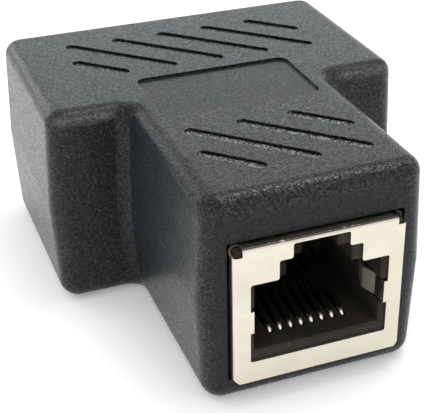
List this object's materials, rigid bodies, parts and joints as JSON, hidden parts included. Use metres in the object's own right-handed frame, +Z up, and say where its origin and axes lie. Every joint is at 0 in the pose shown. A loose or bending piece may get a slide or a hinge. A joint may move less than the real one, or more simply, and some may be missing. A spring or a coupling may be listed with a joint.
{
  "type": "network socket splitter",
  "caption": "T-shaped moulded splitter with a shielded network socket in its stem and a pair of sockets side by side in the back of its wing.",
  "frame": {"origin": "on the bottom face, under the middle of the splitter", "axes": "+Z up; the stem and its socket point to -Y, the wing's two sockets open to +Y; +X to the right seen from the stem's end"},
  "size_m": [0.0366, 0.0442, 0.0206],
  "materials": {
    "housing_plastic": "fine spark-eroded texture",
    "socket_plastic": "smooth moulded",
    "plated_steel": "bright plated sheet",
    "plated_contact": "bright plated",
    "board": "lacquered"
  },
  "bodies": {
    "root": {"housing": "housing_plastic", "circuit_board": "board", "front_shield": "plated_steel", "front_socket": "socket_plastic", "front_contact_carrier": "socket_plastic", "front_contact_1": "plated_contact", "front_contact_2": "plated_contact", "front_contact_3": "plated_contact", "front_contact_4": "plated_contact", "front_contact_5": "plated_contact", "front_contact_6": "plated_contact", "front_contact_7": "plated_contact", "front_contact_8": "plated_contact", "left_shield": "plated_steel", "left_socket": "socket_plastic", "left_contact_carrier": "socket_plastic", "left_contact_1": "plated_contact", "left_contact_2": "plated_contact", "left_contact_3": "plated_contact", "left_contact_4": "plated_contact", "left_contact_5": "plated_contact", "left_contact_6": "plated_contact", "left_contact_7": "plated_contact", "left_contact_8": "plated_contact", "right_shield": "plated_steel", "right_socket": "socket_plastic", "right_contact_carrier": "socket_plastic", "right_contact_1": "plated_contact", "right_contact_2": "plated_contact", "right_contact_3": "plated_contact", "right_contact_4": "plated_contact", "right_contact_5": "plated_contact", "right_contact_6": "plated_contact", "right_contact_7": "plated_contact", "right_contact_8": "plated_contact"}
  },
  "joints": []
}
